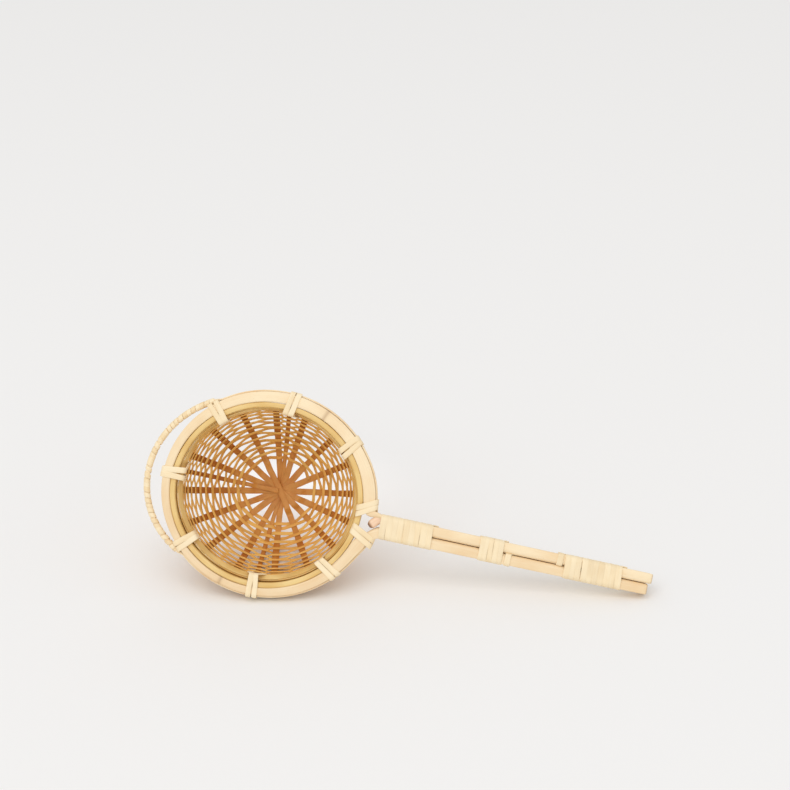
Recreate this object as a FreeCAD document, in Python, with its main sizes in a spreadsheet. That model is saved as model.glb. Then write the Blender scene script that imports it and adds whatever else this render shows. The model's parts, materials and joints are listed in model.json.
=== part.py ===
# Bamboo tea strainer: a woven bowl held in a bent split-bamboo hoop whose two
# ends lie together as the handle.
#
# Everything is built in the strainer's own frame: the origin is the rim's
# centre on its front plane, +X runs along the handle, +Z comes out of the
# bowl's mouth and the bowl hangs towards -Z. One placement then lays the whole
# strainer down on its rim, its bowl wall and its handle tip, with +Z up.

import FreeCAD, Part
import Sketcher
import math
import os

from FreeCAD import Placement, Rotation, Vector

os.makedirs("parts", exist_ok=True)
doc = FreeCAD.newDocument("TeaStrainer")

# ---------------------------------------------------------------- dimensions

DIMENSIONS = [
    ("oval_percent", 2.5, "rim is this much longer along the handle, shorter across"),
    ("cover_outer", 36.7, "cover hoop, mean outer radius"),
    ("cover_thick", 3.3, "cover hoop, radial thickness"),
    ("cover_deep", 5.0, "cover hoop, height along the mouth axis"),
    ("inner_outer", 33.3, "inner hoop, mean outer radius"),
    ("inner_thick", 2.2, "inner hoop, radial thickness"),
    ("inner_deep", 5.5, "inner hoop, height along the mouth axis"),
    ("inner_front", 0.35, "inner hoop, front edge behind the rim plane"),
    ("retainer_inside", 29.88, "inner retaining strip, mean outer radius"),
    ("retainer_outside", 30.78, "outer retaining strip, mean outer radius"),
    ("retainer_thick", 0.45, "retaining strips, radial thickness"),
    ("retainer_deep", 2.4, "retaining strips, height"),
    ("retainer_front", 2.7, "retaining strips, front edge behind the rim plane"),
    ("binding_thick", 0.55, "outer binding strip, radial thickness"),
    ("binding_deep", 3.0, "outer binding strip, height"),
    ("wall_radius", 30.1, "woven wall, mean radius at the rim"),
    ("bowl_depth", 42.0, "bowl bottom below the rim plane"),
    ("bowl_fullness", 2.5, "exponent of the bowl's outline"),
    ("rib_wide", 2.4, "rib strips, width"),
    ("thin_rib_wide", 1.7, "narrow rib strips, width"),
    ("rib_thick", 0.3, "rib strips, thickness"),
    ("weft_wide", 0.85, "weft strand, width"),
    ("weft_thick", 0.45, "weft strand, thickness"),
    ("first_weft", 11.2, "radius of the innermost weft turn"),
    ("last_weft", 7.3, "topmost weft turn, below the rim plane"),
    ("handle_start", 40.0, "first wrap's edge, from the rim's centre"),
    ("handle_tip", 137.0, "handle tip, from the rim's centre"),
    ("handle_wide", 7.4, "both handle halves together, bare tip"),
    ("handle_neck", 7.8, "both handle halves together, at the neck"),
    ("handle_deep", 5.6, "handle halves, thickness"),
    ("handle_slot", 0.4, "gap between the handle halves"),
    ("neck_slot", 3.0, "gap between the halves where the wedge holds them apart"),
    ("neck_offset", 1.2, "how far that gap lies above the handle's middle at the neck"),
    ("cane_thick", 0.35, "binding cane, thickness"),
    ("cane_wide", 1.75, "binding cane, width"),
    ("ear_gap", 5.0, "clear gap between ear and rim"),
    ("ear_core", 1.5, "ear core, side of its section"),
    ("wedge_long", 15.0, "neck wedge, length"),
    ("wedge_wide", 2.6, "neck wedge, width of its fat end"),
    ("wedge_point", 0.4, "neck wedge, width of its thin end"),
    ("wedge_deep", 4.4, "neck wedge, thickness"),
]

sheet = doc.addObject("Spreadsheet::Sheet", "Dimensions")
for row, (alias, value, note) in enumerate(DIMENSIONS, start=1):
    sheet.set(f"A{row}", alias)
    sheet.set(f"B{row}", str(value))
    sheet.set(f"C{row}", note)
    sheet.setAlias(f"B{row}", alias)
doc.recompute()


def size(alias):
    return float(sheet.get(alias))


OVAL = size("oval_percent") / 100.0

# Ends of the rib strips round the rim, in degrees from the handle, listed from
# the strip at the bottom of the centre crossing to the one on top of it.
RIB_STRIPS = [
    (100.0, -73.5),
    (91.0, -85.5),
    (80.0, -100.0),
    (58.0, -124.0),
    (36.5, -144.5),
    (15.0, -168.0),
    (-6.0, 167.5),
    (-26.5, 145.0),
    (-50.0, 122.5),
]
NARROW_STRIP = 1
HALF_STRIP_END = 179.5
LASHING_ANGLES = [134.5, 89.0, 45.0, 6.5, -10.3, -38.5, -85.5, -134.5, -178.0]
WRAP_SPANS = [(size("handle_start"), 60.7, 9), (75.1, 85.8, 5), (105.5, 128.0, 10)]
WEFT_TURNS_PER_STRAND = [3, 3, 3, 3, 4, 5, 3]

HANDLE_YAW = math.radians(2.2)
HANDLE_START_Y = -1.5
HANDLE_DROP = math.tan(math.radians(2.0))
HANDLE_CENTRE_Z = -2.6

# The lying pose: how far the mouth axis points up, and how far the handle dips.
MOUTH_TILT = 26.3
HANDLE_DIP = 14.2


def lying_rotation():
    tilt, dip = math.radians(MOUTH_TILT), math.radians(HANDLE_DIP)
    mouth = Vector(0, -math.cos(tilt), math.sin(tilt))
    up = Vector(0, math.sin(tilt), math.cos(tilt))
    along = Vector(1, 0, 0) * math.cos(dip) - up * math.sin(dip)
    across = Vector(1, 0, 0) * math.sin(dip) + up * math.cos(dip)
    return Rotation(along, across, mouth, "ZXY")


# ------------------------------------------------------------------- helpers

def ramp(value, low, high):
    """0 below low, 1 above high, smooth between them."""
    part = min(1.0, max(0.0, (value - low) / (high - low)))
    return part * part * (3.0 - 2.0 * part)


def rim_point(angle, radius, z):
    return Vector(
        radius * (1.0 + OVAL) * math.cos(angle),
        radius * (1.0 - OVAL) * math.sin(angle),
        z,
    )


def strip_section(wide, thick, bevel=0.0):
    """Corners of a strip's section as (side, normal) pairs, bevelled if asked."""
    half, deep = wide / 2.0, thick / 2.0
    if not bevel:
        return [(half, -deep), (half, deep), (-half, deep), (-half, -deep)]
    return [
        (half, bevel - deep), (half, deep - bevel),
        (half - bevel, deep), (bevel - half, deep),
        (-half, deep - bevel), (-half, bevel - deep),
        (bevel - half, -deep), (half - bevel, -deep),
    ]


def unit(vector):
    return vector / vector.Length


def station(centre, side, normal, wide, thick, bevel=0.0):
    """A strip's section set on one point of its path: a ring of corners."""
    side, normal = unit(side), unit(normal)
    section = strip_section(wide, thick, bevel)
    return [centre + side * a + normal * b for a, b in section]


def skin(rings):
    """A solid strip through rings of corners, with one long face to each side."""
    count, corners = len(rings), len(rings[0])
    knots = list(range(count - 2))
    mults = [4] + [1] * (count - 4) + [4]
    faces = []
    for corner in range(corners):
        beside = (corner + 1) % corners
        side = Part.BSplineSurface()
        side.buildFromPolesMultsKnots(
            [[ring[corner], ring[beside]] for ring in rings],
            mults, [2, 2], knots, [0, 1], False, False, 3, 1,
        )
        faces.append(side.toShape())
    for ring in (rings[0], rings[-1]):
        faces.append(Part.Face(Part.makePolygon(ring + [ring[0]])))
    shell = Part.Shell(faces)
    shell.sewShape()
    return Part.Solid(shell)


pieces = []


def add_piece(piece, local=Placement()):
    """Keeps a finished sub-part, with its place in the strainer's own frame."""
    piece.Label = piece.Name
    pieces.append((piece, local))


def add_strip(name, shape):
    piece = doc.addObject("Part::Feature", name)
    if shape.Volume < 0:
        shape.reverse()
    piece.Shape = shape
    add_piece(piece)


def winding(points, normals, wide, thick):
    """Sections of cane laid along points, its flat side facing normals."""
    rings = []
    for i, centre in enumerate(points):
        ahead = points[min(i + 1, len(points) - 1)]
        behind = points[max(i - 1, 0)]
        along = unit(ahead - behind)
        side = unit(along.cross(normals[i]))
        rings.append(station(centre, side, side.cross(along), wide, thick))
    return rings


def loop_place(half_a, half_b, corner, part):
    """(a, b, out_a, out_b) on a rounded rectangle, part of the way round it.

    Part 0 is the middle of the +a side, a quarter is the middle of the +b side.
    """
    part %= 1.0
    quarter = int(part * 4.0)
    flat_a, flat_b = half_a - corner, half_b - corner
    arc = 0.5 * math.pi * corner
    run = (part * 4.0 - quarter) * (flat_a + flat_b + arc)
    if quarter % 2:
        run = flat_a + flat_b + arc - run
    if run < flat_b:
        a, b, out = half_a, run, 0.0
    elif run < flat_b + arc:
        out = (run - flat_b) / corner
        a, b = flat_a + corner * math.cos(out), flat_b + corner * math.sin(out)
    else:
        out = 0.5 * math.pi
        a, b = flat_a + flat_b + arc - run, half_b
    sign_a = 1.0 if quarter in (0, 3) else -1.0
    sign_b = 1.0 if quarter in (0, 1) else -1.0
    return sign_a * a, sign_b * b, sign_a * math.cos(out), sign_b * math.sin(out)


# ---------------------------------------------------------------- bowl outline

class BowlOutline:
    """The bowl's meridian, from the bottom's centre up to the rim, by length."""

    SAMPLES = 600

    def __init__(self):
        power = 2.0 / size("bowl_fullness")
        self.table = []
        length, last = 0.0, None
        for i in range(self.SAMPLES + 1):
            turn = 0.5 * math.pi * i / self.SAMPLES
            radius = size("wall_radius") * math.sin(turn) ** power
            z = -size("bowl_depth") * max(0.0, math.cos(turn)) ** power
            if last:
                length += math.hypot(radius - last[0], z - last[1])
            last = (radius, z)
            self.table.append((length, radius, z))

    def find(self, column, value):
        """Length along the outline where radius (1) or z (2) reaches value."""
        for before, after in zip(self.table, self.table[1:]):
            if before[column] <= value <= after[column]:
                part = (value - before[column]) / (after[column] - before[column])
                return before[0] + part * (after[0] - before[0])
        return self.table[-1][0]

    def at(self, length):
        """(radius, z, slope) at a length, slope being the unit (dr, dz)."""
        for before, after in zip(self.table, self.table[1:]):
            if length <= after[0]:
                break
        span = after[0] - before[0]
        part = (length - before[0]) / span
        dr, dz = after[1] - before[1], after[2] - before[2]
        return before[1] + part * dr, before[2] + part * dz, (dr / span, dz / span)


bowl = BowlOutline()
RIB_TOP = bowl.find(2, -(size("retainer_front") - 0.3))
WEFT_LOW = bowl.find(1, size("first_weft"))
WEFT_HIGH = bowl.find(2, -size("last_weft"))

# ------------------------------------------------------------------ rib strips

CROSSING_RADIUS = 7.6
CLEAR_RADIUS = 11.0
STACK_STEP = 0.31
RIB_STATIONS = 26


def rib_side(end_angle, centre_angle, level, wide, stations=RIB_STATIONS):
    """Stations of one half of a strip, from the centre to its rim end."""
    rings = []
    for i in range(1, stations + 1):
        length = RIB_TOP * i / stations
        radius, z, (dr, dz) = bowl.at(length)
        bend = ramp(radius, 2.0, size("first_weft"))
        angle = centre_angle + (end_angle - centre_angle) * bend
        lift = level * STACK_STEP * (1.0 - ramp(radius, CROSSING_RADIUS, CLEAR_RADIUS))
        centre = rim_point(angle, radius, z + lift)
        side = Vector(-math.sin(angle), math.cos(angle), 0)
        normal = Vector(-dz * math.cos(angle), -dz * math.sin(angle), dr)
        rings.append(station(centre, side, normal, wide, size("rib_thick")))
    return rings


def mirrored_ring(ring):
    """The same corners taken from the strip's other side, so halves join untwisted."""
    lower_right, upper_right, upper_left, lower_left = ring
    return [lower_left, upper_left, upper_right, lower_right]


def make_rib_strips():
    for level, (end_a, end_b) in enumerate(RIB_STRIPS):
        wide = size("thin_rib_wide") if level == NARROW_STRIP else size("rib_wide")
        first, second = math.radians(end_a), math.radians(end_b)
        spread = math.remainder(first - second - math.pi, 2.0 * math.pi)
        centre_a = first - spread / 2.0
        centre_b = centre_a - math.pi
        second = centre_b + math.remainder(second - centre_b, 2.0 * math.pi)
        half_a = rib_side(first, centre_a, level, wide)
        half_b = rib_side(second, centre_b, level, wide)
        middle = station(
            Vector(0, 0, -size("bowl_depth") + level * STACK_STEP),
            Vector(-math.sin(centre_a), math.cos(centre_a), 0),
            Vector(0, 0, 1), wide, size("rib_thick"),
        )
        rings = [mirrored_ring(ring) for ring in reversed(half_b)]
        add_strip(f"rib_strip_{level + 1:02d}", skin(rings + [middle] + half_a))
    end = math.radians(HALF_STRIP_END)
    rings = rib_side(end, end, len(RIB_STRIPS), size("thin_rib_wide"))
    add_strip("rib_half_strip", skin(rings))


# ------------------------------------------------------------------------ weft

rib_ends = [angle for pair in RIB_STRIPS for angle in pair] + [HALF_STRIP_END]
rib_angles = sorted(angle % 360.0 for angle in rib_ends)
RIB_COUNT = len(rib_angles)
WEFT_STEPS_PER_RIB = 6
WEAVE_SWING = 0.43
WAVE_SOFTNESS = 0.12


def weave_angle(index):
    """Angle of a place counted in ribs, so 0.5 is midway between two of them."""
    whole, part = divmod(index, 1.0)
    turns, rib = divmod(int(whole), RIB_COUNT)
    here = rib_angles[rib]
    after = rib_angles[(rib + 1) % RIB_COUNT] + (360.0 if rib + 1 == RIB_COUNT else 0.0)
    return math.radians(here + part * (after - here) + 360.0 * turns)


def weave_swing(index):
    wave = math.cos(math.pi * index)
    return WEAVE_SWING * wave / math.sqrt(wave * wave + WAVE_SOFTNESS)


def weft_row_length(turn):
    """Row heights: wider apart on the bottom than on the wall."""
    part = turn / sum(WEFT_TURNS_PER_STRAND)
    return WEFT_LOW + (WEFT_HIGH - WEFT_LOW) * (1.15 * part - 0.15 * part * part)


def make_weft_strands():
    start_turn = 0
    for number, turns in enumerate(WEFT_TURNS_PER_STRAND, start=1):
        steps = turns * RIB_COUNT * WEFT_STEPS_PER_RIB
        overlap_gap = 2
        rings = []
        for i in range(overlap_gap, steps - overlap_gap + 1):
            index = start_turn * RIB_COUNT + i / WEFT_STEPS_PER_RIB
            radius, z, (dr, dz) = bowl.at(weft_row_length(index / RIB_COUNT))
            angle = weave_angle(index)
            normal = Vector(-dz * math.cos(angle), -dz * math.sin(angle), dr)
            side = Vector(dr * math.cos(angle), dr * math.sin(angle), dz)
            centre = rim_point(angle, radius, z) + normal * weave_swing(index)
            rings.append(
                station(centre, side, normal, size("weft_wide"), size("weft_thick"))
            )
        add_strip(f"weft_strand_{number:02d}", skin(rings))
        start_turn += turns


# ------------------------------------------------------------------- rim hoops

def make_swept_hoop(name, outer_cell, thick_cell, deep_cell, front_cell):
    """A closed hoop: a rectangular section swept round the oval rim."""
    spine = doc.addObject("Part::Ellipse", name + "_path")
    radius = f"(Dimensions.{outer_cell} - Dimensions.{thick_cell} / 2)"
    spine.setExpression("MajorRadius", f"{radius} * (1 + Dimensions.oval_percent / 100)")
    spine.setExpression("MinorRadius", f"{radius} * (1 - Dimensions.oval_percent / 100)")
    section = doc.addObject("Part::Plane", name + "_section")
    section.setExpression("Length", f"Dimensions.{thick_cell}")
    section.setExpression("Width", f"Dimensions.{deep_cell}")
    section.Placement = Placement(Vector(), Rotation(Vector(1, 0, 0), 90))
    section.setExpression(
        "Placement.Base.x",
        f"{radius} * (1 + Dimensions.oval_percent / 100) - Dimensions.{thick_cell} / 2",
    )
    section.setExpression(
        "Placement.Base.z", f"-Dimensions.{front_cell} - Dimensions.{deep_cell}"
    )
    hoop = doc.addObject("Part::Sweep", name)
    hoop.Sections = [section]
    hoop.Spine = (spine, ["Edge1"])
    hoop.Solid = True
    hoop.Frenet = True
    add_piece(hoop)


# -------------------------------------------------- cover hoop and handle strip

COVER_JOINS = math.radians(4.5), math.radians(10.5)
THINNED_AT_JOIN = 0.75
FLARE = 1.9
FLARE_FROM = math.radians(26.0)
EDGE_BEVEL = 0.8


def handle_point(x, y, z=0.0):
    """A point of the handle's own line, x from the rim's centre."""
    along = x - size("handle_start")
    return Vector(
        x,
        HANDLE_START_Y + along * math.tan(HANDLE_YAW) + y,
        HANDLE_CENTRE_Z - along * HANDLE_DROP + z,
    )


def handle_width(x):
    part = ramp(x, size("handle_start"), size("handle_tip"))
    return size("handle_neck") + part * (size("handle_wide") - size("handle_neck"))


def handle_slot(x):
    """Width of the gap between the halves, and its middle off the handle's line."""
    wedge_end = size("handle_start") + size("wedge_long") - 2.0
    part = ramp(x, size("handle_start"), wedge_end)
    width = size("neck_slot") + part * (size("handle_slot") - size("neck_slot"))
    return width, size("neck_offset") * (1.0 - part)


def neck_flare(angle):
    """How much farther out the hoop runs just below the neck."""
    below = max(FLARE_FROM - -angle % (2.0 * math.pi), 0.0)
    return FLARE * (below / (FLARE_FROM - COVER_JOINS[1])) ** 2


def handle_half(side):
    """Stops along one handle half, from its tip to the neck: side is +1 or -1."""
    stops, count = [], 22
    neck = size("handle_start") + 0.6
    for i in range(count + 1):
        x = size("handle_tip") + (neck - size("handle_tip")) * i / count
        slot, offset = handle_slot(x)
        thick = (handle_width(x) - slot) / 2.0 - side * offset
        centre = handle_point(x, offset + side * (slot + thick) / 2.0)
        stops.append((centre, Vector(0, side, 0), size("handle_deep"), thick))
    return stops


def hoop_arc():
    """Stops round the hoop, thinned where it turns out into the handle."""
    stops, count = [], 84
    middle = size("cover_outer") - size("cover_thick") / 2.0
    round_hoop = 2.0 * math.pi - sum(COVER_JOINS)
    for i in range(count + 1):
        angle = COVER_JOINS[0] + round_hoop * i / count
        thin = THINNED_AT_JOIN + (1.0 - THINNED_AT_JOIN) * ramp(min(i, count - i), 0, 3)
        flare = neck_flare(angle)
        filled = flare * ramp(count - i, 0, 3)
        normal = Vector(math.cos(angle), math.sin(angle), 0)
        centre = rim_point(angle, middle, -size("cover_deep") / 2.0)
        centre += normal * (flare - filled / 2.0)
        thick = size("cover_thick") * thin + filled
        stops.append((centre, normal, size("cover_deep"), thick))
    return stops


def make_cover_hoop_and_handle():
    """One split strip: a handle half, the hoop all round, the other half."""
    stops = handle_half(1) + hoop_arc() + list(reversed(handle_half(-1)))
    front = Vector(0, 0, 1)
    rings = [station(at, front, out, deep, thick, EDGE_BEVEL) for at, out, deep, thick in stops]
    add_strip("cover_hoop_and_handle", skin(rings))


# ----------------------------------------------------------------- neck wedge

def make_neck_wedge():
    """A tongue of bamboo between the handle halves, showing at the neck."""
    body = doc.addObject("PartDesign::Body", "neck_wedge")
    body.Label = "neck_wedge"
    plane = [f for f in body.Origin.OriginFeatures if f.Role == "XY_Plane"][0]
    outline = body.newObject("Sketcher::SketchObject", "neck_wedge_outline")
    outline.AttachmentSupport = [(plane, "")]
    outline.MapMode = "FlatFace"
    long, fat, thin = size("wedge_long"), size("wedge_wide"), size("wedge_point")
    corners = [
        Vector(0, -fat / 2, 0), Vector(long, -thin / 2, 0),
        Vector(long, thin / 2, 0), Vector(0, fat / 2, 0),
    ]
    for i, corner in enumerate(corners):
        outline.addGeometry(Part.LineSegment(corner, corners[(i + 1) % 4]))
    for i in range(4):
        outline.addConstraint(Sketcher.Constraint("Coincident", i, 2, (i + 1) % 4, 1))
    outline.addConstraint(Sketcher.Constraint("PointOnObject", 0, 1, -2))
    outline.addConstraint(Sketcher.Constraint("Symmetric", 0, 1, 3, 1, -1))
    outline.addConstraint(Sketcher.Constraint("Symmetric", 0, 2, 1, 2, -1))
    driven = [
        ("DistanceX", 0, 1, 0, 2, long, "wedge_long"),
        ("DistanceY", 0, 1, 3, 1, fat, "wedge_wide"),
        ("DistanceY", 0, 2, 1, 2, thin, "wedge_point"),
    ]
    for kind, geo_a, pos_a, geo_b, pos_b, value, alias in driven:
        index = outline.addConstraint(
            Sketcher.Constraint(kind, geo_a, pos_a, geo_b, pos_b, value)
        )
        outline.setExpression(f"Constraints[{index}]", f"Dimensions.{alias}")
    pad = body.newObject("PartDesign::Pad", "neck_wedge_pad")
    pad.Profile = outline
    pad.SideType = "Symmetric"
    pad.setExpression("Length", "Dimensions.wedge_deep")
    start = handle_point(size("handle_start") - 2.2, size("neck_offset"))
    slant = math.degrees(HANDLE_YAW - math.atan(size("neck_offset") / long))
    add_piece(body, Placement(start, Rotation(Vector(0, 0, 1), slant)))


# --------------------------------------------------- binding strip and ear loop

EAR_CENTRE = math.radians(180.0)
EAR_HALF_ANGLE = math.radians(45.5)
BINDING_ENDS = math.radians(9.0), math.radians(11.5)
BINDING_CLEARANCE = 0.05
EAR_WRAP_SHARE = 0.86
EAR_SLEEVE_BEVEL = 0.5


def ear_part(angle):
    """0 where the binding strip lies on the hoop, 1 at the top of the ear."""
    place = (angle - EAR_CENTRE) / EAR_HALF_ANGLE
    if abs(place) >= 1.0:
        return 0.0
    return math.cos(0.5 * math.pi * place) ** 0.8


def binding_centre(angle):
    on_hoop = size("cover_outer") + BINDING_CLEARANCE + size("binding_thick") / 2.0
    wrapped_core = size("ear_core") / 2.0 + size("cane_thick")
    top = size("cover_outer") + size("ear_gap") + wrapped_core
    radius = on_hoop + (top - on_hoop) * ear_part(angle) + neck_flare(angle)
    return rim_point(angle, radius, -size("cover_deep") / 2.0)


def make_binding_and_ear():
    """One strip: bound round the hoop and bowed out opposite the handle."""
    rings, count = [], 150
    for i in range(count + 1):
        angle = BINDING_ENDS[0] + (2.0 * math.pi - sum(BINDING_ENDS)) * i / count
        bowed = ramp(ear_part(angle), 0.02, 0.30)
        deep = size("binding_deep") + bowed * (size("ear_core") - size("binding_deep"))
        thick = size("binding_thick") + bowed * (size("ear_core") - size("binding_thick"))
        ahead = binding_centre(angle + 0.01) - binding_centre(angle - 0.01)
        normal = ahead.cross(Vector(0, 0, 1))
        rings.append(
            station(binding_centre(angle), Vector(0, 0, 1), normal, deep, thick)
        )
    add_strip("binding_strip_and_ear", skin(rings))


def ear_sleeve(side_length, bevel, first, last):
    """A bevelled square bar along the ear, between two angles round the rim."""
    rings, count = [], 40
    for i in range(count + 1):
        angle = first + (last - first) * i / count
        ahead = binding_centre(angle + 0.01) - binding_centre(angle - 0.01)
        normal = ahead.cross(Vector(0, 0, 1))
        rings.append(station(
            binding_centre(angle), Vector(0, 0, 1), normal,
            side_length, side_length, bevel,
        ))
    return skin(rings)


def make_ear_wrap():
    """The cane wound close round the ear's core, as one sleeve."""
    first = EAR_CENTRE - EAR_WRAP_SHARE * EAR_HALF_ANGLE
    last = EAR_CENTRE + EAR_WRAP_SHARE * EAR_HALF_ANGLE
    inside = size("ear_core") + 2.0 * BINDING_CLEARANCE
    outside = inside + 2.0 * size("cane_thick")
    bar = ear_sleeve(outside, EAR_SLEEVE_BEVEL, first, last)
    core = ear_sleeve(inside, 0.0, first - 0.02, last + 0.02)
    add_strip("ear_cane_wrap", bar.cut(core).Solids[0])


# ------------------------------------------------------------------- lashings

LASHING_INNER = 29.15
LASHING_OUTER = 37.6
LASHING_FRONT = 0.28
LASHING_BACK = -6.3
LASHING_CORNER = 1.1
LASHING_STEPS_PER_TURN = 28
LASHING_FIRST_TURN = -0.19
LASHING_LAST_TURN = 1.53
PAIR_GAP = 0.12


def nearest_rib_offset(degrees_round):
    """Signed distance along the wall from a lashing to the nearest rib."""
    offsets = [math.remainder(rib - degrees_round, 360.0) for rib in rib_angles]
    nearest = min(offsets, key=abs)
    return math.radians(nearest) * size("wall_radius")


def wall_crossing(degrees_round):
    """(shift, spread) of a lashing's two bands where they pass the wall."""
    to_rib = nearest_rib_offset(degrees_round)
    half_pair = (size("cane_wide") + PAIR_GAP) / 2.0
    beside_rib = size("rib_wide") / 2.0 + half_pair + PAIR_GAP
    if abs(to_rib) < beside_rib:
        return to_rib, beside_rib
    clear = beside_rib + half_pair
    if abs(to_rib) < clear:
        return to_rib - math.copysign(clear, to_rib), half_pair
    return 0.0, half_pair


def lashing_points(degrees_round):
    """Two turns of cane round the whole rim, passing the wall beside a rib."""
    shift, spread = wall_crossing(degrees_round)
    half_pair = (size("cane_wide") + PAIR_GAP) / 2.0
    angle = math.radians(degrees_round)
    outer = LASHING_OUTER + neck_flare(angle)
    middle_r = (LASHING_INNER + outer) / 2.0
    middle_z = (LASHING_FRONT + LASHING_BACK) / 2.0
    half_r = (outer - LASHING_INNER) / 2.0
    half_z = (LASHING_FRONT - LASHING_BACK) / 2.0
    outward = Vector(math.cos(angle), math.sin(angle), 0)
    tangent = Vector(-math.sin(angle), math.cos(angle), 0)
    points, normals = [], []
    turns = LASHING_LAST_TURN - LASHING_FIRST_TURN
    count = round(turns * LASHING_STEPS_PER_TURN)
    for i in range(count + 1):
        turn = LASHING_FIRST_TURN + turns * i / count
        at_wall = ramp(math.cos(2.0 * math.pi * (turn + 0.125)), 0.2, 0.8)
        band = 2.0 * ramp(turn, 0.50, 0.80) - 1.0
        aside = band * (half_pair + (spread - half_pair) * at_wall) + shift * at_wall
        inward, forward, normal_in, normal_fore = loop_place(
            half_r, half_z, LASHING_CORNER, turn
        )
        centre = rim_point(angle, middle_r - inward, middle_z + forward)
        points.append(centre + tangent * aside)
        normals.append(outward * -normal_in + Vector(0, 0, 1) * normal_fore)
    return points, normals


def make_rim_lashings():
    for number, degrees_round in enumerate(LASHING_ANGLES, start=1):
        points, normals = lashing_points(degrees_round)
        rings = winding(points, normals, size("cane_wide"), size("cane_thick"))
        add_strip(f"rim_lashing_{number:02d}", skin(rings))


# --------------------------------------------------------------- handle wraps

WRAP_CLEARANCE = 0.06
WRAP_CORNER = 1.5
WRAP_STEPS_PER_TURN = 24
WRAP_COVER = 0.93


def make_handle_wraps():
    """Cane wound round both handle halves, in three bindings."""
    off = size("cane_thick") / 2.0 + WRAP_CLEARANCE
    for number, (start, end, turns) in enumerate(WRAP_SPANS, start=1):
        pitch = (end - start) / turns
        wide = WRAP_COVER * (end - start - pitch) / turns
        points, normals = [], []
        count = turns * WRAP_STEPS_PER_TURN
        for i in range(count + 1):
            part = i / count
            x = start + 0.5 * pitch + (end - start - pitch) * part
            y, z, out_y, out_z = loop_place(
                handle_width(x) / 2.0 + off, size("handle_deep") / 2.0 + off,
                WRAP_CORNER, turns * part,
            )
            points.append(handle_point(x, y, z))
            normals.append(Vector(0, out_y, out_z))
        rings = winding(points, normals, wide, size("cane_thick"))
        add_strip(f"handle_wrap_{number}", skin(rings))


# ------------------------------------------------------------ make every piece

make_rib_strips()
make_weft_strands()
make_swept_hoop(
    "inner_retaining_strip", "retainer_inside", "retainer_thick",
    "retainer_deep", "retainer_front",
)
make_swept_hoop(
    "outer_retaining_strip", "retainer_outside", "retainer_thick",
    "retainer_deep", "retainer_front",
)
make_swept_hoop("inner_hoop", "inner_outer", "inner_thick", "inner_deep", "inner_front")
make_cover_hoop_and_handle()
make_neck_wedge()
make_binding_and_ear()
make_ear_wrap()
make_rim_lashings()
make_handle_wraps()
doc.recompute()

# ---------------------------------------------------------------- lay it down

MESH_STEP = 0.1


def lying_placement():
    """Lying on the floor, with the box's middle over the origin."""
    turned = Placement(Vector(), lying_rotation())
    corners = []
    for piece, local in pieces:
        shape = piece.Shape.copy()
        shape.Placement = turned.multiply(local)
        corners += shape.tessellate(MESH_STEP)[0]
    low = [min(corner[axis] for corner in corners) for axis in range(3)]
    high = [max(corner[axis] for corner in corners) for axis in range(3)]
    to_origin = Vector(-(low[0] + high[0]) / 2.0, -(low[1] + high[1]) / 2.0, -low[2])
    return Placement(to_origin, lying_rotation())


lying = lying_placement()
for piece, local in pieces:
    piece.Placement = lying.multiply(local)
doc.recompute()

# -------------------------------------------------------------- check and write

for item in doc.Objects:
    if "Invalid" in item.State or "Error" in item.State:
        raise RuntimeError(f"{item.Name} failed: {item.State}")
for piece, _ in pieces:
    shape = piece.Shape
    if shape.isNull() or not shape.isValid() or not shape.Solids:
        raise RuntimeError(f"{piece.Label} is not a valid solid")
    shape.exportStep(f"parts/{piece.Label}.step")
    print(f"{piece.Label}: {shape.Volume:.1f} mm3")
print("laid down at", lying.Base)
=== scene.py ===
# The looks of a bamboo tea strainer: every strip, strand and winding of the
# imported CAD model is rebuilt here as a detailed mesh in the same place.
import json
import math

import bpy
import numpy as np
from mathutils import Matrix, Vector


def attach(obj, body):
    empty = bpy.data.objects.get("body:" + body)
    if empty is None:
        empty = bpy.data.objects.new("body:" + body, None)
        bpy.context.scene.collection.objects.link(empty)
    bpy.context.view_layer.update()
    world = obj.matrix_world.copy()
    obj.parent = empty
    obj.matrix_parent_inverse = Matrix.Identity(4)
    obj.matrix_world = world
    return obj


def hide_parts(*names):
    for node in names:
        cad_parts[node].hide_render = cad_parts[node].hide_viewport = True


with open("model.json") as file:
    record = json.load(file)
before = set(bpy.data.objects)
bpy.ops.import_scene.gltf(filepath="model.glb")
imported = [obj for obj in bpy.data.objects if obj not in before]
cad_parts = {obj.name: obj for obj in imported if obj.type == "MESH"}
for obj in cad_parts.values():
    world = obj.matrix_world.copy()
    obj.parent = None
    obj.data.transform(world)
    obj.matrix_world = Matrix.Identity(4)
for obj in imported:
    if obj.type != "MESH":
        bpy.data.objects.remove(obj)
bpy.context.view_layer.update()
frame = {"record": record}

# ------------------------------------------------------- the strainer's own frame
# Shapes are worked out in millimetres in the strainer's frame: the origin is the
# rim's centre, +X runs along the handle and +Z comes out of the mouth. The
# record's mounts say where that frame lies.

MOUNTS = {mount["name"]: mount for mount in frame["record"]["mounts"]}
RIM_SEAT_BEHIND_RIM = 0.0065


def unit(vectors):
    return vectors / np.linalg.norm(vectors, axis=-1, keepdims=True)


MOUTH = unit(np.array(MOUNTS["hanging_ear"]["axis"], float))
ALONG = unit(np.array(MOUNTS["handle_grip"]["axis"], float))
ACROSS = np.cross(MOUTH, ALONG)
RIM_CENTRE = np.array(MOUNTS["rim_seat"]["pos_m"]) + RIM_SEAT_BEHIND_RIM * MOUTH
TO_ROW = np.stack([ALONG, ACROSS, MOUTH])


def to_row(points):
    """Strainer millimetres to the row's metres."""
    return RIM_CENTRE + (np.asarray(points, float) / 1000.0) @ TO_ROW


# ---------------------------------------------------------------- dimensions, mm

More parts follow.
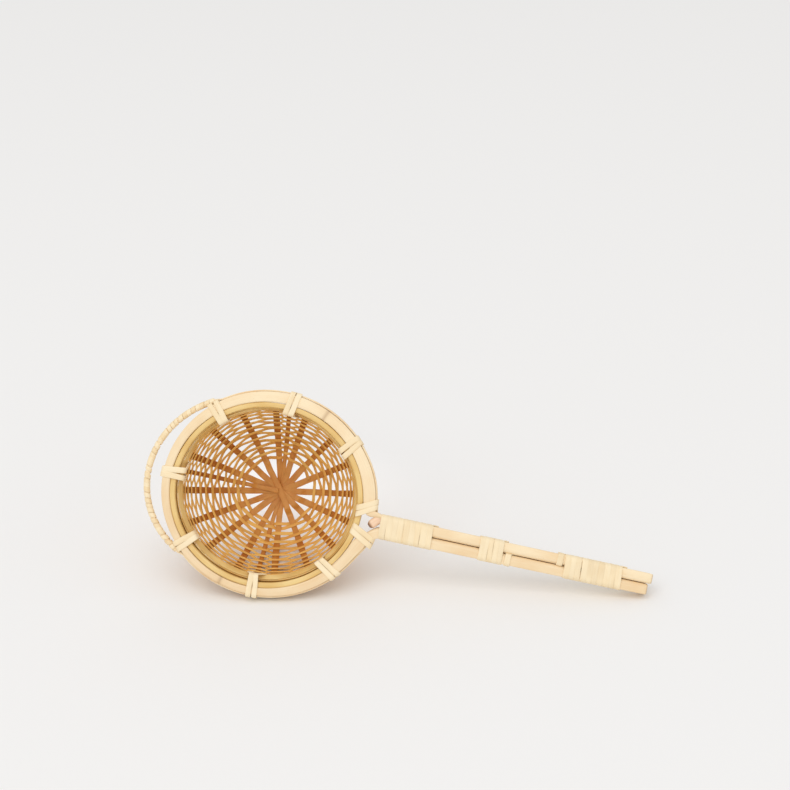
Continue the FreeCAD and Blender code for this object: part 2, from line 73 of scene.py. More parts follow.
OVAL = 0.025
COVER_OUTER, COVER_THICK, COVER_DEEP = 36.7, 3.3, 5.0
INNER_OUTER, INNER_INSIDE, INNER_DEEP, INNER_FRONT = 33.3, 31.4, 5.5, 0.35
RETAINER_THICK, RETAINER_DEEP, RETAINER_FRONT = 0.36, 2.4, 2.7
BINDING_THICK, BINDING_DEEP = 0.55, 3.0
WALL_RADIUS, BOWL_DEPTH = 30.8, 41.5
ROLL = math.radians(14.4)
RIB_WIDE, THIN_RIB_WIDE, RIB_THICK = 2.4, 1.7, 0.3
WEFT_WIDE, WEFT_LOOK_THICK = 1.12, 0.414
FIRST_WEFT = 11.2
HANDLE_START, HANDLE_TIP = 40.0, 137.0
HANDLE_WIDE, HANDLE_NECK, HANDLE_DEEP = 7.4, 7.8, 5.6
HANDLE_SLOT, HANDLE_SPLAY, NECK_SLOT, NECK_OFFSET = 0.17, 1.9, 3.0, 1.4
WEDGE_LONG, WEDGE_WIDE, WEDGE_POINT, WEDGE_DEEP = 15.0, 3.1, 0.6, 4.4
CANE_THICK, CANE_WIDE = 0.35, 1.75
EAR_GAP, EAR_CORE = 4.4, 1.45

# Ribs: where the two ends of each strip point, seen from the front round the
# crossing, in degrees up from level; from the lowest strip of the crossing to the top.
RIB_STRIPS = [
    (93.0, 266.0),
    (83.0, 254.0),
    (71.0, 240.0),
    (46.0, 217.5),
    (22.0, 199.0),
    (358.0, 179.0),
    (335.5, 158.0),
    (314.0, 138.0),
    (290.0, 116.5),
]
NARROW_STRIP = 1
HALF_STRIP_END = 168.5
LASHING_ANGLES = [134.5, 89.0, 45.0, 6.5, -10.3, -38.5, -85.5, -134.5, -178.0]
WRAP_SPANS = [(40.0, 60.7, 9), (75.1, 85.8, 5), (105.5, 128.0, 10)]
WEFT_TURNS_PER_STRAND = [3, 3, 3, 3, 4, 5, 3]
HANDLE_YAW = math.radians(2.2)
HANDLE_START_Y = -1.5
HANDLE_DROP = math.tan(math.radians(2.0))
HANDLE_CENTRE_Z = -2.6

RNG = np.random.default_rng(20)


# ------------------------------------------------------------------ small helpers

def ramp(value, low, high):
    """0 below low, 1 above high, smooth between them."""
    part = np.clip((np.asarray(value, float) - low) / (high - low), 0.0, 1.0)
    return part * part * (3.0 - 2.0 * part)


def wander(places, wavelength, waves=5):
    """A smooth random line with a size of about 1, from a few sine waves."""
    places = np.asarray(places, float)
    total = np.zeros_like(places)
    for _ in range(waves):
        length = wavelength * RNG.uniform(0.6, 1.7)
        total += np.sin(2.0 * np.pi * places / length + RNG.uniform(0.0, 2.0 * np.pi))
    return total / math.sqrt(waves / 2.0)


def rim_point(angle, radius, z, shift=(0.0, 0.0)):
    """Points on the oval rim; angle, radius, z and the shift may be arrays."""
    angle, radius, z, across, up = np.broadcast_arrays(angle, radius, z, shift[0], shift[1])
    return np.stack([
        radius * (1.0 + OVAL) * np.cos(angle) + across,
        radius * (1.0 - OVAL) * np.sin(angle) + up,
        z,
    ], axis=-1)


def turned(right, up):
    """A shift measured level and upright, in the strainer's frame."""
    return (
        right * math.cos(ROLL) - up * math.sin(ROLL),
        right * math.sin(ROLL) + up * math.cos(ROLL),
    )


def hump(value, centre, width):
    return np.exp(-((np.asarray(value, float) - centre) / width) ** 2)


def ring(count):
    return np.linspace(0.0, 2.0 * np.pi, count, endpoint=False)


def running_length(points):
    """The length of a polyline up to each of its points."""
    return np.concatenate([[0.0], np.cumsum(np.linalg.norm(np.diff(points, axis=0), axis=1))])


def read_at(places, length, column):
    if column.ndim == 1:
        return np.interp(places, length, column)
    return np.stack([np.interp(places, length, part) for part in column.T], -1)


def resample(rows, columns, spacing):
    """Evenly spaced stations along rows, and every column read at the same places."""
    length = running_length(rows)
    places = np.linspace(0.0, length[-1], int(length[-1] / spacing))
    columns = [read_at(places, length, column) for column in columns]
    return read_at(places, length, rows), columns, places


def smooth_rows(rows, passes):
    for _ in range(passes):
        rows = np.concatenate([
            rows[:1], (rows[:-2] + 2.0 * rows[1:-1] + rows[2:]) / 4.0, rows[-1:]
        ])
    return rows


# ------------------------------------------------------------------ strip meshes

def outline(wide, thick, corner, crown, arc_points, inner_corner=None):
    """Section outlines, (stations, points) arrays of side and normal distances."""
    inner_corner = corner if inner_corner is None else inner_corner
    wide, thick, corner, inner_corner, crown = (
        np.atleast_1d(np.asarray(v, float))[:, None]
        for v in np.broadcast_arrays(wide, thick, corner, inner_corner, crown)
    )
    most = 0.49 * np.minimum(wide, thick)
    side, normal = [], []
    for quarter, (sign_a, sign_b) in enumerate([(1, 1), (-1, 1), (-1, -1), (1, -1)]):
        round_off = np.minimum(corner if sign_b > 0 else inner_corner, most)
        flat_a, flat_b = wide / 2.0 - round_off, thick / 2.0 - round_off
        for i in range(arc_points):
            turn = 0.5 * math.pi * (quarter + i / (arc_points - 1))
            side.append(sign_a * flat_a + round_off * math.cos(turn))
            normal.append(sign_b * flat_b + round_off * math.sin(turn))
        if sign_a == sign_b:
            for share in (0.5, 0.0, -0.5):
                side.append(sign_a * share * flat_a)
                normal.append(sign_b * thick / 2.0)
    side = np.concatenate(side, axis=1)
    normal = np.concatenate(normal, axis=1)
    bulge = 1.0 - (side / (wide / 2.0)) ** 2
    normal = normal + np.where(normal > 0.0, crown, 0.0) * bulge
    return side, normal


def frames_from_normals(centres, normals):
    """Side and true normal directions along a path."""
    along = unit(np.gradient(centres, axis=0))
    side = unit(np.cross(along, normals))
    return side, np.cross(side, along)


def strip_faces(rows, count, around, closed):
    """Quads between neighbouring stations, with end caps on an open strip."""
    i = np.repeat(np.arange(rows), around)
    j = np.tile(np.arange(around), rows)
    next_i, next_j = (i + 1) % count, (j + 1) % around
    quads = np.stack([
        i * around + j, next_i * around + j,
        next_i * around + next_j, i * around + next_j,
    ], axis=1)
    faces = quads.tolist()
    if not closed:
        faces.append(list(range(around)))
        faces.append([(count - 1) * around + j for j in reversed(range(around))])
    return faces, i, j


def strip_uv(mesh, length, girth, i, j):
    """UVs in metres: along the strip and round its section, from a random start."""
    u0, u1 = length[i], length[i + 1]
    v0, v1 = girth[j], girth[j + 1]
    corners = np.stack([
        np.stack([u0, v0], 1), np.stack([u1, v0], 1),
        np.stack([u1, v1], 1), np.stack([u0, v1], 1),
    ], axis=1).reshape(-1, 2)
    uv = np.zeros((len(mesh.loops), 2))
    uv[: len(corners)] = corners / 1000.0
    uv += RNG.uniform(0.0, 1.0, 2)
    mesh.uv_layers.new(name="strip").data.foreach_set("uv", uv.ravel())


def loft(name, centres, sides, normals, outlines, slot, closed=False, tone=0.5, darkening=0.0):
    """A closed strip mesh through a section at every station; tone and darkening go to a colour
    attribute: random tone and stains, and on the weft and the cover hoop and handle also painted
    shade.
    """
    a, b = outlines
    count, around = len(centres), a.shape[1]
    if a.shape[0] == 1:
        a, b = np.repeat(a, count, axis=0), np.repeat(b, count, axis=0)
    points = centres[:, None, :] + a[..., None] * sides[:, None, :]
    points = points + b[..., None] * normals[:, None, :]
    vertices = to_row(points.reshape(-1, 3))
    faces, i, j = strip_faces(count if closed else count - 1, count, around, closed)
    mesh = bpy.data.meshes.new(name)
    mesh.from_pydata(vertices.tolist(), [], faces)

    length = running_length(centres)
    if closed:
        length = np.append(length, length[-1] + np.linalg.norm(centres[0] - centres[-1]))
    section = np.stack([a[0], b[0]], -1)
    girth = running_length(np.concatenate([section, section[:1]]))
    strip_uv(mesh, length, girth, i, j)

    # Red holds the tone and green the darkening: random tone and stains, and on the weft and the
    # cover hoop and handle also painted shade.
    tone_and_darkening = np.ones((count, around, 4))
    tone_and_darkening[..., 0] = np.broadcast_to(np.reshape(tone, (-1, 1)), (count, around))
    tone_and_darkening[..., 1] = np.broadcast_to(np.reshape(darkening, (-1, 1)), (count, around))
    colour = mesh.color_attributes.new("tone_and_darkening", "FLOAT_COLOR", "POINT")
    colour.data.foreach_set("color", tone_and_darkening.ravel())
    mesh.validate()
    mesh.shade_smooth()
    piece = bpy.data.objects.new(name, mesh)
    bpy.context.collection.objects.link(piece)
    piece.data.materials.append(MATERIALS[slot])
    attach(piece, "root")
    return piece


# --------------------------------------------------------------------- materials

def linear(*display):
    """An 8-bit display colour as the linear colour that a shader takes."""
    parts = [value / 255.0 for value in display]
    parts = [v / 12.92 if v <= 0.04045 else ((v + 0.055) / 1.055) ** 2.4 for v in parts]
    return (*parts, 1.0)


class Nodes:
    """Short calls that add nodes to one material and join them."""

    def __init__(self, name):
        self.material = bpy.data.materials.new(name)
        self.material.use_nodes = True
        self.tree = self.material.node_tree
        self.shader = self.tree.nodes["Principled BSDF"]

    def feed(self, socket, value):
        """Joins a socket to another node's output, or sets it to a constant."""
        if isinstance(value, bpy.types.NodeSocket):
            self.tree.links.new(value, socket)
        else:
            socket.default_value = value

    def add(self, kind, inputs=None, **settings):
        node = self.tree.nodes.new(kind)
        for key, value in settings.items():
            setattr(node, key, value)
        for key, value in (inputs or {}).items():
            self.feed(node.inputs[key], value)
        return node

    def mix(self, factor, first, second):
        node = self.add("ShaderNodeMix", data_type="RGBA")
        self.feed(node.inputs[0], factor)
        self.feed(node.inputs[6], first)
        self.feed(node.inputs[7], second)
        return node.outputs[2]

    def remap(self, value, low, high, to_low, to_high):
        node = self.add("ShaderNodeMapRange", {
            "Value": value, "From Min": low, "From Max": high,
            "To Min": to_low, "To Max": to_high,
        })
        return node.outputs["Result"]

    def math(self, operation, first, second):
        node = self.add("ShaderNodeMath", operation=operation)
        self.feed(node.inputs[0], first)
        self.feed(node.inputs[1], second)
        return node.outputs[0]

    def grain(self, uv, scale, detail):
        """Noise stretched along the strip; scale is (along, across) per metre."""
        stretched = self.add("ShaderNodeMapping", {"Vector": uv, "Scale": (*scale, 1.0)})
        noise = self.add("ShaderNodeTexNoise", {
            "Vector": stretched.outputs["Vector"], "Scale": 1.0, "Detail": detail,
            "Roughness": GRAIN_ROUGHNESS,
        })
        return noise.outputs["Fac"]


# How fine each grain is, along and across a strip, per metre.
LONG_GRAIN, FINE_GRAIN = (60.0, 6000.0), (160.0, 14000.0)
PATCH_GRAIN, SPECK_GRAIN = (110.0, 330.0), (700.0, 1500.0)
GRAIN_ROUGHNESS, RELIEF_DEPTH = 0.55, 0.0002


def bamboo(name, light, deep, dark_colour, fibre, blotch, roughness, bump, specks=0.0):
    """Split bamboo or cane: fibres run along the strip's own UV direction."""
    n = Nodes(name)
    uv = n.add("ShaderNodeUVMap", uv_map="strip").outputs["UV"]
    tone_and_darkening = n.add("ShaderNodeVertexColor", layer_name="tone_and_darkening").outputs["Color"]
    parts = n.add("ShaderNodeSeparateColor", {"Color": tone_and_darkening}).outputs
    fibres = n.grain(uv, LONG_GRAIN, 4.0)
    fine = n.grain(uv, FINE_GRAIN, 2.0)
    patch = n.grain(uv, PATCH_GRAIN, 3.0)
    grain = n.math("ADD", n.math("MULTIPLY", fibres, 0.65), n.math("MULTIPLY", fine, 0.35))
    depth = n.remap(grain, 0.38, 0.68, 0.0, fibre)
    # The colour attribute's red carries random tone, and on the cover hoop and handle painted shade
    # as well.
    tone = n.remap(parts["Red"], 0.0, 1.0, -0.5, 0.5)
    clouds = n.remap(patch, 0.35, 0.7, 0.0, blotch)
    amount = n.math("ADD", n.math("ADD", depth, clouds), tone)
    clamped = n.add("ShaderNodeClamp", {"Value": amount}).outputs["Result"]
    colour = n.mix(clamped, light, deep)
    if specks:
        dot = n.remap(n.grain(uv, SPECK_GRAIN, 1.0), 0.74, 0.80, 0.0, specks)
        colour = n.mix(dot, colour, dark_colour)
    # Green darkens towards the dark colour: stains, and on the weft and the cover hoop and handle
    # painted shade as well.
    n.feed(n.shader.inputs["Base Color"], n.mix(parts["Green"], colour, dark_colour))
    gloss = n.remap(fibres, 0.3, 0.7, roughness - 0.08, roughness + 0.12)
    n.feed(n.shader.inputs["Roughness"], gloss)
    relief = n.add("ShaderNodeBump", {
        "Height": grain, "Strength": bump, "Distance": RELIEF_DEPTH,
    })
    n.feed(n.shader.inputs["Normal"], relief.outputs["Normal"])
    return n.material


MATERIALS = {
    "pale_bamboo": bamboo(
        "pale_bamboo", linear(248, 227, 189), linear(238, 205, 158), linear(160, 118, 72),
        fibre=0.45, blotch=0.45, roughness=0.42, bump=0.15, specks=0.12,
    ),
    "ochre_bamboo": bamboo(
        "ochre_bamboo", linear(236, 205, 138), linear(218, 172, 92), linear(126, 84, 32),
        fibre=0.5, blotch=0.45, roughness=0.42, bump=0.15, specks=0.1,
    ),
    "rib_bamboo": bamboo(
        "rib_bamboo", linear(214, 152, 72), linear(188, 108, 28), linear(118, 58, 8),
        fibre=0.55, blotch=0.4, roughness=0.5, bump=0.35,
    ),
    "woven_bamboo": bamboo(
        "woven_bamboo", linear(246, 200, 108), linear(224, 154, 60), linear(150, 84, 18),
        fibre=0.4, blotch=0.45, roughness=0.5, bump=0.3,
    ),
    "binding_cane": bamboo(
        "binding_cane", linear(248, 229, 192), linear(238, 209, 160), linear(160, 118, 72),
        fibre=0.5, blotch=0.4, roughness=0.5, bump=0.3, specks=0.08,
    ),
    "wedge_bamboo": bamboo(
        "wedge_bamboo", linear(246, 212, 180), linear(228, 178, 138), linear(130, 80, 48),
        fibre=0.6, blotch=0.3, roughness=0.6, bump=0.4,
    ),
}

# ------------------------------------------------------------------ bowl outline

HOOP_SHIFT = turned(-0.95, -0.45)
BOTTOM_SHIFT = turned(-0.78, 0.73)
# The strips cross a little off the bottom's middle.
CROSSING_OFF = turned(0.85, -0.94)
BELLY_SIDE = math.radians(35.0) + ROLL
BELLY, BELLY_HEIGHT, BELLY_REACH = 1.1, -12.0, 9.0
FULLNESS = 2.44
SAMPLES = 6000
SAMPLE_TURN = np.linspace(0.0, 0.5 * np.pi, SAMPLES)
OUTLINE_R = WALL_RADIUS * np.sin(SAMPLE_TURN) ** (2.0 / FULLNESS)
OUTLINE_Z = -BOWL_DEPTH * np.maximum(np.cos(SAMPLE_TURN), 0.0) ** (2.0 / FULLNESS)
OUTLINE_LENGTH = running_length(np.stack([OUTLINE_R, OUTLINE_Z], -1))
OUTLINE_SHARE = OUTLINE_LENGTH / OUTLINE_LENGTH[-1]
WALL_LENGTH = 58.0


def wall_radius_height(share, angle):
    radius = np.interp(share, OUTLINE_SHARE, OUTLINE_R)
    z = np.interp(share, OUTLINE_SHARE, OUTLINE_Z)
    bulging = 0.5 + 0.5 * np.cos(angle - BELLY_SIDE)
    return radius + BELLY * bulging * hump(z, BELLY_HEIGHT, BELLY_REACH), z


def bowl_shift(z):
    """The wall leans a little: its centre moves from the rim to the bottom."""
    depth = np.asarray(z) / -BOWL_DEPTH
    return tuple(
        (1.0 - depth) * rim + depth * bottom for rim, bottom in zip(HOOP_SHIFT, BOTTOM_SHIFT)
    )


def wall_at(share, angle):
    """Radius, height and unit slope (dr, dz) of the wall, at angles round the bowl."""
    radius, z = wall_radius_height(share, angle)
    after = wall_radius_height(np.minimum(share + 0.002, 1.0), angle)
    before = wall_radius_height(np.maximum(share - 0.002, 0.0), angle)
    dr, dz = after[0] - before[0], after[1] - before[1]
    norm = np.hypot(dr, dz)
    return radius, z, dr / norm, dz / norm


def wall_point(angle, radius, z):
    return rim_point(angle, radius, z, shift=bowl_shift(z))


RIB_TOP = 0.945
WEFT_LOW, WEFT_HIGH = 0.203, 0.905
WEFT_TURNS = sum(WEFT_TURNS_PER_STRAND)

# ------------------------------------------------------------------------- ribs

CROSSING_RADIUS, CLEAR_RADIUS, STACK_STEP = 7.6, 11.0, 0.31
RIB_ENDS = np.sort(np.array([end for pair in RIB_STRIPS for end in pair] + [HALF_STRIP_END]))
RIB_COUNT = len(RIB_ENDS)
RIB_SWAY, SWAY_DEGREES = RNG.uniform(-1.0, 1.0, (RIB_COUNT, 2)), 0.8
RIB_CORNER, RIB_CROWN = 0.09, 0.03
# How far the rim's centre appears from the crossing, seen from the front.
RIM_FROM_CROSSING = np.array(turned(-5.2, -1.2))


def rib_angle_at(rib, share):
    """A rib's angle round the bowl in degrees; ribs run straight when seen from the front."""
    part = np.asarray(share) / RIB_TOP
    sway = RIB_SWAY[rib, ..., 0] * np.sin(2.2 * part + 3.0 * RIB_SWAY[rib, ..., 1])
    sway = SWAY_DEGREES * sway * ramp(part, 0.15, 0.5) * (1.0 - ramp(part, 0.8, 1.0))
    aim = np.radians(RIB_ENDS[rib] + sway) + ROLL
    radius, z = wall_radius_height(share, aim)
    nearer = 1.0 + z / BOWL_DEPTH
    centre_a, centre_b = (
        rim * nearer - off * (1.0 - nearer) for rim, off in zip(RIM_FROM_CROSSING, CROSSING_OFF)
    )
    beside = centre_a * np.cos(aim) + centre_b * np.sin(aim)
    off = centre_a ** 2 + centre_b ** 2 - beside ** 2
    reach = beside + np.sqrt(np.maximum(radius ** 2 - off, 0.0))
    across = (reach * np.cos(aim) - centre_a) / (1.0 + OVAL)
    up = (reach * np.sin(aim) - centre_b) / (1.0 - OVAL)
    return np.degrees(np.arctan2(up, across))


def rib_index(end):
    return int(np.argmin(np.abs(RIB_ENDS - end)))


def rib_half(end, centre_angle, level, count=90):
    """Length, centres, sides and normals of one half of a strip, outwards."""
    share = np.linspace(0.0, RIB_TOP, count + 1)[1:]
    swayed = np.radians(rib_angle_at(rib_index(end), share))
    radius = wall_at(share, swayed)[0]
    turn = np.array([math.remainder(v - centre_angle, 2.0 * np.pi) for v in swayed])
    angle = centre_angle + turn * ramp(radius, 2.0, FIRST_WEFT)
    radius, z, dr, dz = wall_at(share, angle)
    lift = level * STACK_STEP * (1.0 - ramp(radius, CROSSING_RADIUS, CLEAR_RADIUS))
    central = 1.0 - ramp(radius, 1.0, FIRST_WEFT)
    centres = wall_point(angle, radius, z)
    centres = centres + np.stack([CROSSING_OFF[0] * central, CROSSING_OFF[1] * central, lift], -1)
    sides = np.stack([-np.sin(angle), np.cos(angle), 0.0 * angle], -1)
    normals = np.stack([-dz * np.cos(angle), -dz * np.sin(angle), dr], -1)
    return share * WALL_LENGTH, centres, sides, normals


def rib_looks(length, full_wide):
    share = length / (RIB_TOP * WALL_LENGTH)
    wide = full_wide * (0.95 + 0.05 * ramp(share, 0.2, 0.8) + 0.03 * wander(length, 18.0))
    tone = 0.25 + 0.60 * ramp(share, 0.22, 0.5) + 0.10 * wander(length, 7.0)
    darkening = 0.15 * ramp(share, 0.25, 0.4) + 0.35 * ramp(share, 0.50, 0.95)
    darkening = darkening + 0.06 * wander(length, 5.0)
    return wide, np.clip(tone, 0, 1), np.clip(darkening, 0, 1)


def make_ribs():
    for level, (end_a, end_b) in enumerate(RIB_STRIPS):
        full = THIN_RIB_WIDE if level == NARROW_STRIP else RIB_WIDE
        first, second = math.radians(end_a) + ROLL, math.radians(end_b) + ROLL
        spread = math.remainder(first - second - math.pi, 2.0 * math.pi)
        centre_a = first - spread / 2.0
        half_a = rib_half(end_a, centre_a, level)
        half_b = rib_half(end_b, centre_a - math.pi, level)
        middle = (
            np.array([[
                BOTTOM_SHIFT[0] + CROSSING_OFF[0], BOTTOM_SHIFT[1] + CROSSING_OFF[1],
                -BOWL_DEPTH + level * STACK_STEP,
            ]]),
            np.array([[-math.sin(centre_a), math.cos(centre_a), 0.0]]),
            np.array([[0.0, 0.0, 1.0]]),
        )
        centres = np.concatenate([half_b[1][::-1], middle[0], half_a[1]])
        sides = np.concatenate([-half_b[2][::-1], middle[1], half_a[2]])
        normals = np.concatenate([half_b[3][::-1], middle[2], half_a[3]])
        length = np.concatenate([half_b[0][::-1], [0.0], half_a[0]])
        wide, tone, darkening = rib_looks(length, full)
        name = f"rib_strip_{level + 1:02d}"
        piece = loft(
            "look_" + name, centres, sides, normals,
            outline(wide, RIB_THICK, RIB_CORNER, RIB_CROWN, 3), "rib_bamboo", tone=tone, darkening=darkening,
        )
        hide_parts(name)
    end = HALF_STRIP_END
    length, centres, sides, normals = rib_half(end, math.radians(end) + ROLL, len(RIB_STRIPS))
    wide, tone, darkening = rib_looks(length, THIN_RIB_WIDE)
    piece = loft(
        "look_rib_half_strip", centres, sides, normals,
        outline(wide, RIB_THICK, RIB_CORNER, RIB_CROWN, 3), "rib_bamboo", tone=tone, darkening=darkening,
    )
    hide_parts("rib_half_strip")


# ------------------------------------------------------------------------- weft

WEFT_STEPS_PER_RIB = 12
WEAVE_SWING, WAVE_SOFTNESS = 0.58, 0.55
# Loose rows wander by this share of the wall; ends hold still over so many ribs.
WEFT_WANDER, WEFT_END_RIBS = 0.0032, 4.0


def weft_row(turn):
    """Share of the wall's length at which the weft runs after so many turns."""
    part = turn / WEFT_TURNS
    return WEFT_LOW + (WEFT_HIGH - WEFT_LOW) * (1.15 * part - 0.15 * part * part)


def make_weft():
    start_turn = 0
    for number, turns in enumerate(WEFT_TURNS_PER_STRAND, start=1):
        steps = turns * RIB_COUNT * WEFT_STEPS_PER_RIB
        place = np.arange(0, steps + 1) / WEFT_STEPS_PER_RIB + start_turn * RIB_COUNT
        from_end = ramp(np.minimum(place - place[0], place[-1] - place), 0.0, WEFT_END_RIBS)
        turn = place / RIB_COUNT
        loose = 1.0 - 0.6 * ramp(turn, 2.0, WEFT_TURNS - 6.0)
        share = weft_row(turn) + WEFT_WANDER * loose * from_end * wander(place, 9.0)
        whole = np.floor(place).astype(int)
        part = place - whole
        rib = whole % RIB_COUNT
        here = rib_angle_at(rib, share)
        after = rib_angle_at((rib + 1) % RIB_COUNT, share)
        after = here + (after - here) % 360.0
        angle = np.radians(here + part * (after - here))
        radius, z, dr, dz = wall_at(share, angle)
        normals = np.stack([-dz * np.cos(angle), -dz * np.sin(angle), dr], -1)
        sides = np.stack([dr * np.cos(angle), dr * np.sin(angle), dz], -1)
        wave = np.cos(np.pi * place)
        swing = WEAVE_SWING * wave / np.sqrt(wave * wave + WAVE_SOFTNESS)
        centres = wall_point(angle, radius, z) + normals * swing[:, None]
        wide = WEFT_WIDE * (1.14 - 0.26 * turn / WEFT_TURNS + 0.10 * from_end * wander(place, 14.0))
        tone = np.clip(0.40 + 0.20 * wander(place, 30.0), 0, 1)
        # Painted shade where the weft dips behind a rib, added to random stains.
        behind_rib_shade = np.clip(-wave, 0.0, 1.0)
        darkening = np.clip(0.10 * np.abs(wander(place, 3.0)) + 0.10 * behind_rib_shade, 0, 0.5)
        name = f"weft_strand_{number:02d}"
        piece = loft(
            "look_" + name, centres, sides, normals,
            outline(wide, WEFT_LOOK_THICK, 0.17, 0.03, 2), "woven_bamboo",
            tone=tone, darkening=darkening,
        )
        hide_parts(name)
        start_turn += turns


# -------------------------------------------------------------------- rim hoops

RIM_SHIFT = turned(-0.40, 0.0)
LOOSE_SIDE = math.radians(-95.0)
HOOP_STATIONS = 320


def rim_shift(angle):
    """The outer outline's shift, which fades away towards the neck."""
    keep = 1.0 - ramp(np.cos(angle), 0.75, 1.0)
    return RIM_SHIFT[0] * keep, RIM_SHIFT[1] * keep


def between(outside, inside):
    """Centre line, outward normals and thickness of a hoop between two outlines."""
    across = outside - inside
    thick = np.linalg.norm(across, axis=1)
    return (outside + inside) / 2.0, across / thick[:, None], thick


def make_inner_hoop():
    angle = ring(HOOP_STATIONS)
    front = -INNER_FRONT - INNER_DEEP / 2.0
    centres, normals, thick = between(
        rim_point(angle, INNER_OUTER + 0.03 * wander(angle, 1.6), front, shift=HOOP_SHIFT),
        rim_point(angle, INNER_INSIDE + 0.05 * wander(angle, 1.1), front, shift=HOOP_SHIFT),
    )
    sides = np.tile([0.0, 0.0, 1.0], (len(angle), 1))
    arc = angle * INNER_OUTER
    tone = np.clip(0.45 + 0.16 * wander(arc, 22.0), 0, 1)
    wide = INNER_DEEP * (1.0 - 0.012 * (1.0 + wander(arc, 30.0)))
    piece = loft(
        "look_inner_hoop", centres, sides, normals,
        outline(wide, thick, 0.35, 0.0, 4, inner_corner=0.45), "ochre_bamboo",
        closed=True, tone=tone,
    )
    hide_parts("inner_hoop")


def make_retaining_strip(side, inset, gap, lean):
    angle = ring(HOOP_STATIONS)
    loose = 0.5 + 0.5 * np.cos(angle - LOOSE_SIDE)
    radius = INNER_INSIDE - inset - gap * loose ** 2
    slant = np.radians(lean[0] + loose * (lean[1] - lean[0]))
    outward = np.stack([np.cos(angle), np.sin(angle), 0.0 * angle], -1)
    fore = np.array([0.0, 0.0, 1.0]) * np.cos(slant)[:, None] - outward * np.sin(slant)[:, None]
    edge = rim_point(angle, radius, -RETAINER_FRONT, shift=HOOP_SHIFT)
    centres = edge - fore * RETAINER_DEEP / 2.0
    along = unit(np.roll(centres, -1, axis=0) - np.roll(centres, 1, axis=0))
    normals = unit(np.cross(along, fore))
    tone = np.clip(0.60 + 0.2 * wander(angle, 0.8), 0, 1)
    darkening = np.clip(0.05 + 0.06 * wander(angle, 0.5), 0, 1)
    piece = loft(
        f"look_{side}_retaining_strip", centres, fore, normals,
        outline(RETAINER_DEEP, RETAINER_THICK, 0.12, 0.0, 3), "ochre_bamboo",
        closed=True, tone=tone, darkening=darkening,
    )
    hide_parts(f"{side}_retaining_strip")


def make_hoops():
    make_inner_hoop()
    make_retaining_strip("inner", 0.46, 0.60, (-10.0, -36.0))
    make_retaining_strip("outer", 0.14, 0.60, (3.0, 20.0))


# -------------------------------------------------- cover hoop and both handles

COVER_JOINS = math.radians(4.5), math.radians(10.5)
THINNED_AT_JOIN = 0.75
FLARE, FLARE_FROM = 1.9, math.radians(26.0)
HOOP_NODES, NODE_WIDTH = [math.radians(68.5), math.radians(256.0)], 0.014
COVER_CORNER, HANDLE_CORNER, INSIDE_CORNER = 0.55, 1.35, 0.3
LOWER_HALF_SHORTER = 0.9
COVER_SPACING, COVER_SMOOTHING = 0.55, 6
# Painted light from above: the hoop is painted palest here, towards its top, and darkest opposite.
PAINTED_LIT_SIDE = math.radians(85.0)


def handle_point(x, y, z=0.0):
    x, y, z = np.broadcast_arrays(np.asarray(x, float), y, z)
    along = x - HANDLE_START
    return np.stack([
        x,
        HANDLE_START_Y + along * math.tan(HANDLE_YAW) + y,
        HANDLE_CENTRE_Z - along * HANDLE_DROP + z,
    ], -1)


def handle_width(x):
    return HANDLE_NECK + ramp(x, HANDLE_START, HANDLE_TIP) * (HANDLE_WIDE - HANDLE_NECK)


def handle_slot(x):
    """Width of the gap between the halves, and its middle off the handle's line."""
    part = ramp(x, HANDLE_START, HANDLE_START + WEDGE_LONG - 2.0)
    return NECK_SLOT + part * (HANDLE_SLOT - NECK_SLOT), NECK_OFFSET * (1.0 - part)


def neck_flare(angle):
    """How much farther out the hoop runs just below the neck."""
    below = np.mod(-np.asarray(angle, float), 2.0 * np.pi)
    return FLARE * (np.maximum(FLARE_FROM - below, 0.0) / (FLARE_FROM - COVER_JOINS[1])) ** 2


def handle_half(side, count=120):
    """Centre line, depth, thickness and corner of the upper (1) or lower (-1) half."""
    tip = HANDLE_TIP if side > 0 else HANDLE_TIP - LOWER_HALF_SHORTER
    x = np.linspace(tip, HANDLE_START + 0.6, count)
    slot, offset = handle_slot(x)
    thick = (handle_width(x) - slot) / 2.0 - side * offset
    centres = handle_point(x, offset + side * (slot + thick) / 2.0)
    return centres, np.full(count, HANDLE_DEEP), thick, np.full(count, HANDLE_CORNER)


def hoop_arc(count=260):
    """The same four columns of the hoop between its joins with the halves, and its angles."""
    angle = np.linspace(COVER_JOINS[0], 2.0 * np.pi - COVER_JOINS[1], count)
    to_lower = 2.0 * np.pi - COVER_JOINS[1] - angle
    from_join = np.minimum(angle - COVER_JOINS[0], to_lower)
    thin = THINNED_AT_JOIN + (1.0 - THINNED_AT_JOIN) * ramp(from_join, 0.0, 0.12)
    centres, normals, thick = between(
        rim_point(angle, COVER_OUTER, -COVER_DEEP / 2.0, shift=rim_shift(angle)),
        rim_point(angle, COVER_OUTER - COVER_THICK, -COVER_DEEP / 2.0, shift=HOOP_SHIFT),
    )
    flare = neck_flare(angle)
    filled = flare * ramp(to_lower, 0.0, 0.10)
    centres = centres + normals * (flare - filled / 2.0)[:, None]
    thick = filled + thick * thin * (1.0 - 0.03 * (1.0 + wander(angle * COVER_OUTER, 40.0)) / 2.0)
    return (centres, np.full(count, COVER_DEEP), thick, np.full(count, COVER_CORNER)), angle


